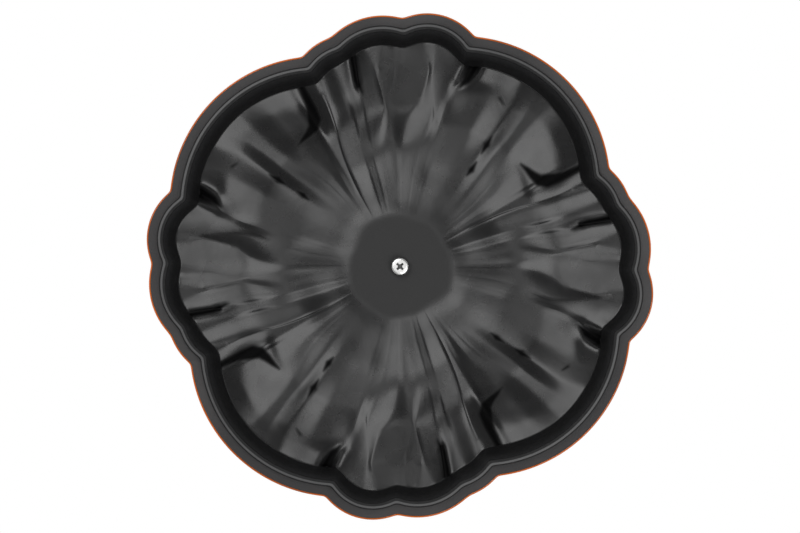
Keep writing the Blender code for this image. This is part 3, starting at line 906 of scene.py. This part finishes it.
def make_knob():
    """Fine ribbed stem knob."""
    foot = GLAZE_TOP + 2 * GAP + GASKET_THICKNESS
    bearing = even_bearings(KNOB_STEPS)
    rings = [ring_points(bearing, HOLE_RADIUS, foot + depth) for depth in (KNOB_BORE_DEPTH, 0.0)]
    stations = np.arange(len(KNOB_PROFILE))
    fine = np.linspace(0.0, len(KNOB_PROFILE) - 1, KNOB_RINGS)
    shares, radii = (np.interp(fine, stations, part) for part in zip(*KNOB_PROFILE))
    for share, radius in zip(shares, KNOB_FOOT_RADIUS * radii):
        rib = np.cos(np.radians(KNOB_RIBS * (bearing - share * KNOB_TWIST)))
        depth = KNOB_RIB_SHARE * float(smooth(share / KNOB_RIB_START))
        ring = ring_points(bearing, radius * (1.0 + depth * rib), foot + share * KNOB_HEIGHT)
        ring[:, 0] += KNOB_LEAN * share**2
        rings.append(ring)
    piece = ring_mesh("stem_knob", rings, [steel("knob_steel", KNOB_STEEL, KNOB_ROUGHNESS)], closed=False)
    piece.data.set_sharp_from_angle(angle=math.radians(KNOB_SHARP_ANGLE))
    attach(piece, "root")
    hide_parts("knob")


def screw_profile(crown, face, tip):
    """Radii and heights of the screw, from the crown of its head over the head's face to the tip."""
    profile = [(HEAD_FLAT_SHARE * SCREW_HEAD_RADIUS, crown)]
    for step in range(1, HEAD_ARC_STEPS + 1):
        angle = math.radians(90.0 * step / HEAD_ARC_STEPS)
        radius = SCREW_HEAD_RADIUS * (HEAD_FLAT_SHARE + (1.0 - HEAD_FLAT_SHARE) * math.sin(angle))
        profile.append((radius, crown + HEAD_CROWN_SHARE * SCREW_HEAD_HEIGHT * (1.0 - math.cos(angle))))
    for share, height in zip(HEAD_EDGE_SHARES, (face - HEAD_EDGE_HEIGHT, face)):
        profile.append((share * SCREW_HEAD_RADIUS, height))
    shank = [(SHANK_RADIUS, face), (SHANK_RADIUS, tip - SHANK_CHAMFER), (SHANK_RADIUS - SHANK_CHAMFER, tip)]
    return profile + shank


def recess_guide(crown):
    """Cross with a tapered core, centred on the head's crown."""
    recess = bmesh.new()
    middle = Matrix.Translation((0, 0, crown))
    size = Matrix.Diagonal((RECESS_SPAN, RECESS_WIDTH, 2 * RECESS_DEPTH, 1))
    for turn in RECESS_TURNS:
        bar = middle @ Matrix.Rotation(math.radians(turn), 4, "Z") @ size
        bmesh.ops.create_cube(recess, size=1.0, matrix=bar)
    wide, narrow = RECESS_CORE_RADII
    bmesh.ops.create_cone(recess, cap_ends=True, segments=CORE_STEPS, radius1=wide, radius2=narrow,
                          depth=2 * RECESS_DEPTH, matrix=middle)
    mesh = bpy.data.meshes.new("recess_guide")
    recess.to_mesh(mesh)
    recess.free()
    # Dark steel on the recess's faces is painted shade
    mesh.materials.append(steel("recess_painted_shade", RECESS_SHADE_STEEL, RECESS_ROUGHNESS))
    guide = bpy.data.objects.new("recess_guide", mesh)
    bpy.context.collection.objects.link(guide)
    return guide


def cut_recess(piece, guide):
    """Cut a guide out of a piece, with the guide's dark steel, painted shade of the recess, on the cut."""
    piece.data.materials.append(guide.data.materials[0])
    cut = piece.modifiers.new("Recess", "BOOLEAN")
    cut.operation = "DIFFERENCE"
    cut.solver = "EXACT"
    cut.use_self = True
    cut.material_mode = "TRANSFER"
    cut.object = guide
    graph = bpy.context.evaluated_depsgraph_get()
    mesh = bpy.data.meshes.new_from_object(piece.evaluated_get(graph))
    piece.modifiers.clear()
    piece.data = mesh
    bpy.data.objects.remove(guide)


def make_screw():
    """Fine pan head with a tapered cross recess, on its shank."""
    face = PAD_HEIGHT - 2 * GAP - WASHER_THICKNESS
    crown = face - SCREW_HEAD_HEIGHT
    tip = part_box("knob_screw")[1].z
    bearing = even_bearings(HEAD_STEPS)
    rings = [ring_points(bearing, radius, height) for radius, height in screw_profile(crown, face, tip)]
    finish = steel("screw_steel", SCREW_STEEL, SCREW_ROUGHNESS, SCREW_BUMP)
    piece = ring_mesh("pan_head_screw", rings, [finish], closed=False)
    cut_recess(piece, recess_guide(crown))
    piece.data.set_sharp_from_angle(angle=math.radians(SCREW_SHARP_ANGLE))
    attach(piece, "root")
    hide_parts("knob_screw")


def dress_node(name, material):
    """Give a CAD node its finish."""
    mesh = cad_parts[name].data
    mesh.materials.clear()
    mesh.materials.append(material)


def plain_paint(name, grey, roughness):
    """Matt paint of one grey."""
    material, tree, shader = new_material(name)
    set_input(tree, shader.inputs["Base Color"], grey)
    set_input(tree, shader.inputs["Roughness"], roughness)
    return material


def show_either(tree, factor, first, second, output):
    """Join two shaders by a factor at the tree's output."""
    either = node(tree, "ShaderNodeMixShader")
    for socket, source in zip(either.inputs, (factor, first.outputs[0], second.outputs[0])):
        tree.links.new(source, socket)
    tree.links.new(either.outputs[0], tree.nodes[output].inputs["Surface"])


def stage_ring(name, near, far, material):
    """Flat stage piece between two rings of points, facing up."""
    mesh = bpy.data.meshes.new(name)
    count = len(near)
    faces = [(i, (i + 1) % count, count + (i + 1) % count, count + i) for i in range(count)]
    mesh.from_pydata(np.concatenate([near, far]).tolist(), [], faces)
    if mesh.polygons[0].normal.z < 0:
        mesh.flip_normals()
    mesh.materials.append(material)
    ring = bpy.data.objects.new(name, mesh)
    bpy.context.collection.objects.link(ring)
    return ring


def make_floor():
    """Pale floor around the lid, clear from below, with a ring under the seat that only the camera sees."""
    paint = plain_paint("floor_paint", FLOOR_GREY, FLOOR_ROUGHNESS)
    tree = paint.node_tree
    below = node(tree, "ShaderNodeNewGeometry").outputs["Backfacing"]
    clear = node(tree, "ShaderNodeBsdfTransparent")
    show_either(tree, below, tree.nodes["Principled BSDF"], clear, "Material Output")
    bearing = even_bearings(FLOOR_STEPS)
    edge = ring_points(bearing, outline(bearing, FLOOR_INSET, NOTCH_ROUNDING), 0.0)
    foot = ring_points(bearing, outline(bearing, FLOOR_FOOT_INSET, NOTCH_ROUNDING), 0.0)
    floor = stage_ring("floor", edge, ring_points(bearing, FLOOR_RADIUS, 0.0), paint)
    floor.visible_shadow = False
    under_seat = stage_ring("floor_under_seat", foot, edge, paint)
    under_seat.visible_shadow = False
    under_seat.visible_diffuse = False
    under_seat.visible_glossy = False
    under_seat.visible_transmission = False


def make_card():
    """Dark card under the camera, open around the axis, which keeps the enamel from reflecting white."""
    bearing = even_bearings(CARD_STEPS)
    near, far = (ring_points(bearing, radius, CARD_HEIGHT) for radius in (CARD_HOLE, CARD_RADIUS))
    stage_ring("card", near, far, plain_paint("card_paint", CARD_GREY, CARD_ROUGHNESS))


def add_lamp(name, place, size, radiance):
    """Square soft lamp aimed at the lid, by the brightness of its face."""
    light = bpy.data.lights.new(name, "AREA")
    light.size = size
    light.energy = radiance * math.pi * size * size
    lamp = bpy.data.objects.new(name, light)
    lamp.location = place
    lamp.rotation_euler = (-Vector(place)).to_track_quat("-Z", "Y").to_euler()
    lamp.visible_camera = False
    bpy.context.collection.objects.link(lamp)


def make_lights():
    """Two soft lamps below on one diagonal, and two above."""
    polar = math.radians(LOW_LAMP_POLAR)
    reach = LOW_LAMP_DISTANCE * math.sin(polar) * math.sqrt(0.5)
    below = -LOW_LAMP_DISTANCE * math.cos(polar)
    add_lamp("lamp_low_left", (-reach, -reach, below), LOW_LAMP_SIZE, LOW_LAMP_RADIANCE)
    add_lamp("lamp_low_right", (reach, reach, below), LOW_LAMP_SIZE, LOW_LAMP_RADIANCE)
    add_lamp("lamp_key", KEY_PLACE, UPPER_LAMP_SIZE, KEY_RADIANCE)
    add_lamp("lamp_fill", FILL_PLACE, UPPER_LAMP_SIZE, FILL_RADIANCE)


def larger(tree, first, second):
    """Larger of two outputs."""
    made = node(tree, "ShaderNodeMath", operation="MAXIMUM")
    set_input(tree, made.inputs[0], first)
    set_input(tree, made.inputs[1], second)
    return made.outputs[0]


def make_surround():
    """White surround that lights the lid more weakly than it shows in the picture and in reflections."""
    world = bpy.data.worlds.new("surround")
    world.use_nodes = True
    tree = world.node_tree
    plain = tree.nodes["Background"]
    white = node(tree, "ShaderNodeBackground")
    for background, strength in ((plain, SURROUND_STRENGTH), (white, 1.0)):
        set_input(tree, background.inputs["Color"], WHITE)
        set_input(tree, background.inputs["Strength"], strength)
    path = node(tree, "ShaderNodeLightPath").outputs
    direct = larger(tree, path["Is Camera Ray"], path["Is Glossy Ray"])
    seen = larger(tree, direct, path["Is Transmission Ray"])
    show_either(tree, seen, plain, white, "World Output")
    bpy.context.scene.world = world


def make_camera():
    """Camera on the lid's axis below it, looking up, with the lid filling the picture as photographed."""
    lens = bpy.data.cameras.new("camera")
    lens.sensor_width = SENSOR_WIDTH
    lens.lens = SENSOR_WIDTH * CAMERA_DISTANCE / PICTURE_WIDTH
    lens.clip_start = CLIP_START
    camera = bpy.data.objects.new("camera", lens)
    camera.location = (0.0, 0.0, LIP_HEIGHT - CAMERA_DISTANCE)
    camera.rotation_euler = (math.pi, 0.0, 0.0)
    bpy.context.collection.objects.link(camera)
    bpy.context.scene.camera = camera


make_lid_iron()
make_glaze_skin()
make_knob()
make_screw()
dress_node("knob_gasket", silicone())
dress_node("lock_washer", steel("washer_steel", WASHER_STEEL, WASHER_ROUGHNESS))
make_floor()
make_card()
make_lights()
make_surround()
make_camera()
bpy.context.scene.view_settings.view_transform = "Standard"
